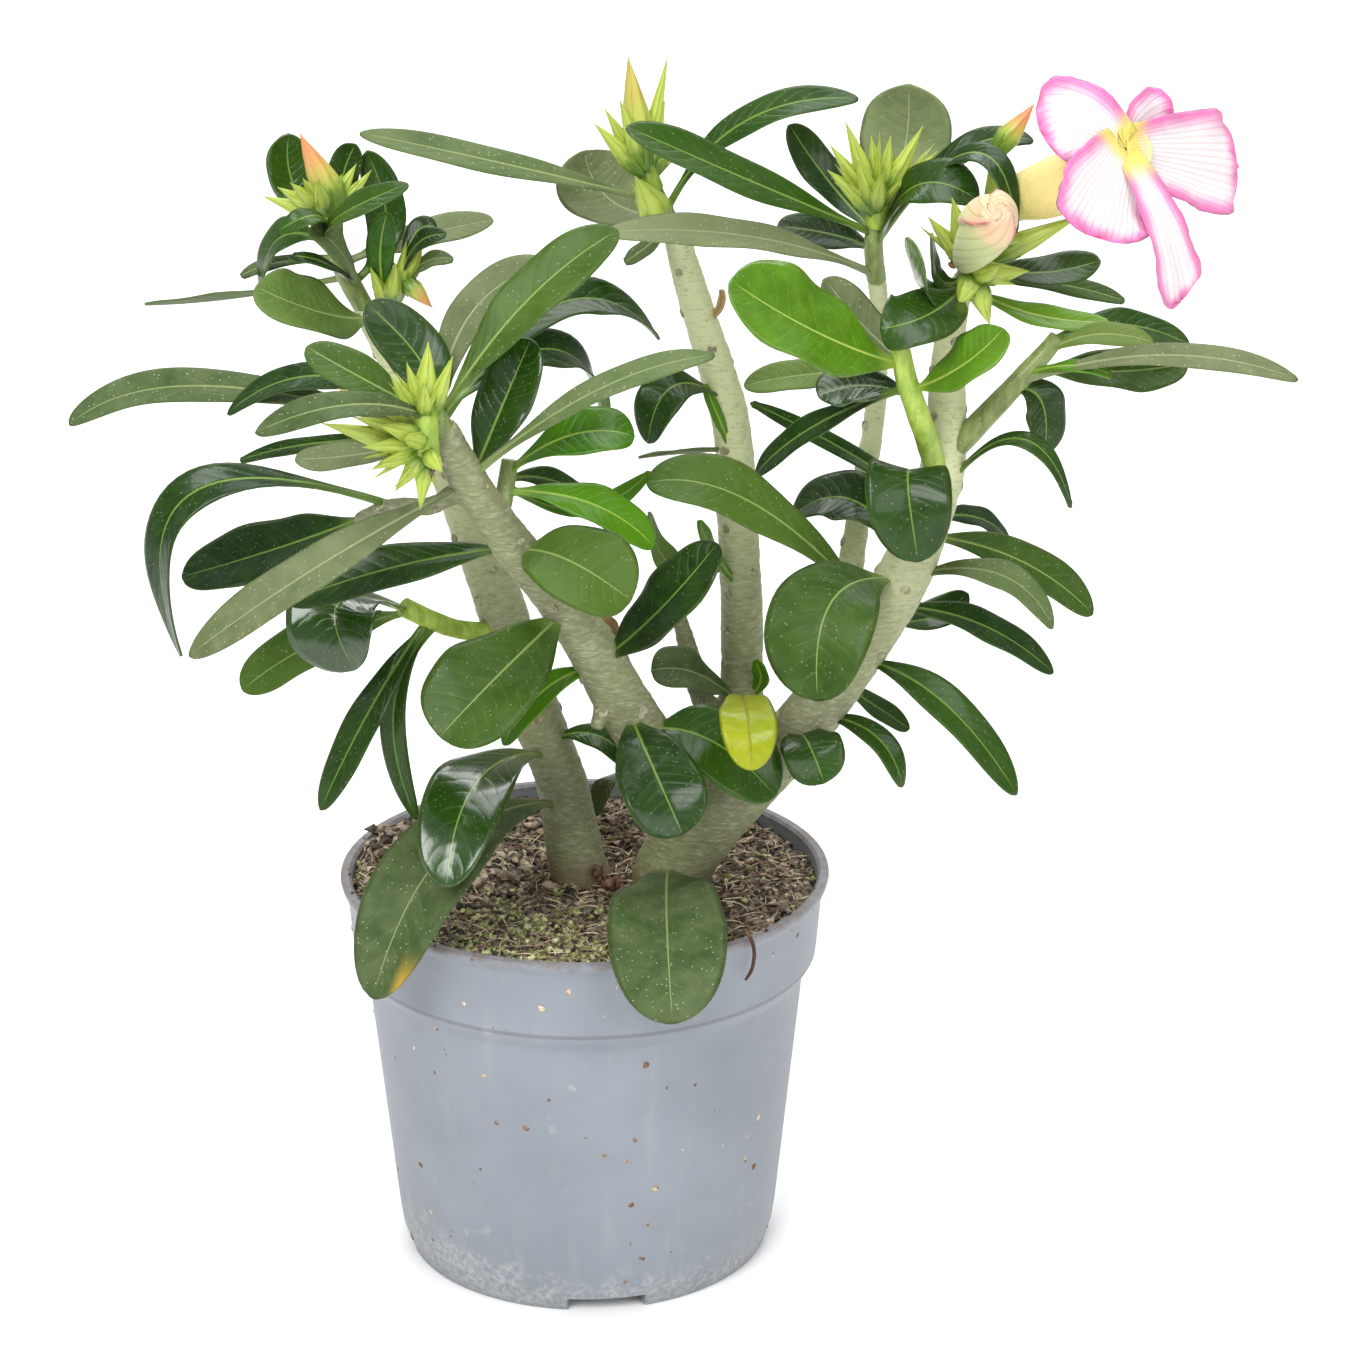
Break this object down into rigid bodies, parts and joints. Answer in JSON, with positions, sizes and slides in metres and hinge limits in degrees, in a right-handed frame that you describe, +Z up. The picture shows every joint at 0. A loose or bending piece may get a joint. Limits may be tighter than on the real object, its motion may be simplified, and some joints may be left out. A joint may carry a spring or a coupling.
{
  "type": "potted desert rose",
  "caption": "Desert rose in a grey plastic grow pot, with thick branching stems, dark green leaves, pointed buds and an open white and pink bloom.",
  "frame": {"origin": "centre of the pot's underside, on the surface that the pot stands on", "axes": "+Z up, +X to the right and +Y away from someone who faces the front of the pot"},
  "size_m": [0.2858, 0.1338, 0.2992],
  "materials": {
    "pot_plastic": "matte",
    "peat": "matte",
    "bark": "matte",
    "leaf": "satin",
    "bud": "satin",
    "petal": "matte",
    "petal_bud": "matte",
    "leaf_yellow": "satin"
  },
  "bodies": {
    "root": {"bloom": "petal", "buds_flower": "bud", "buds_front": "bud", "buds_right_top": "bud", "buds_top": "bud", "buds_upper_left": "bud", "leaf_back_arch": "leaf", "leaf_big_front": "leaf", "leaf_big_round": "leaf", "leaf_bright_narrow": "leaf", "leaf_centre_broad": "leaf", "leaf_centre_dark": "leaf", "leaf_centre_low": "leaf", "leaf_dark_centre": "leaf", "leaf_front_round": "leaf", "leaf_glossy_left": "leaf", "leaf_inner_glossy": "leaf", "leaf_inner_narrow": "leaf", "leaf_left_broad": "leaf", "leaf_left_dark": "leaf", "leaf_left_hook": "leaf", "leaf_left_straight": "leaf", "leaf_long_centre": "leaf", "leaf_middle_brown": "leaf", "leaf_middle_edge": "leaf", "leaf_middle_left": "leaf", "leaf_middle_low": "leaf", "leaf_middle_small": "leaf", "leaf_narrow_right": "leaf", "leaf_over_rim_front": "leaf", "leaf_over_rim_left": "leaf", "leaf_pale_back": "leaf", "leaf_right_arched": "leaf", "leaf_right_broad": "leaf", "leaf_right_dark": "leaf", "leaf_right_face": "leaf", "leaf_right_hooked": "leaf", "leaf_right_long": "leaf", "leaf_right_low": "leaf", "leaf_right_low_round": "leaf", "leaf_right_lower": "leaf", "leaf_right_small": "leaf", "leaf_right_upper": "leaf", "leaf_short_dark": "leaf", "pot": "pot_plastic", "rolled_bud": "petal_bud", "shoot_flower": "leaf", "shoot_front": "leaf", "shoot_inner": "leaf", "shoot_low_left": "leaf", "shoot_right": "leaf", "shoot_right_top": "leaf", "shoot_top": "leaf", "shoot_upper_left": "leaf", "shoot_upper_left_side": "leaf", "shoot_young": "leaf", "soil": "peat", "stem_left": "bark", "stem_right": "bark", "yellow_leaf": "leaf_yellow"}
  },
  "joints": []
}
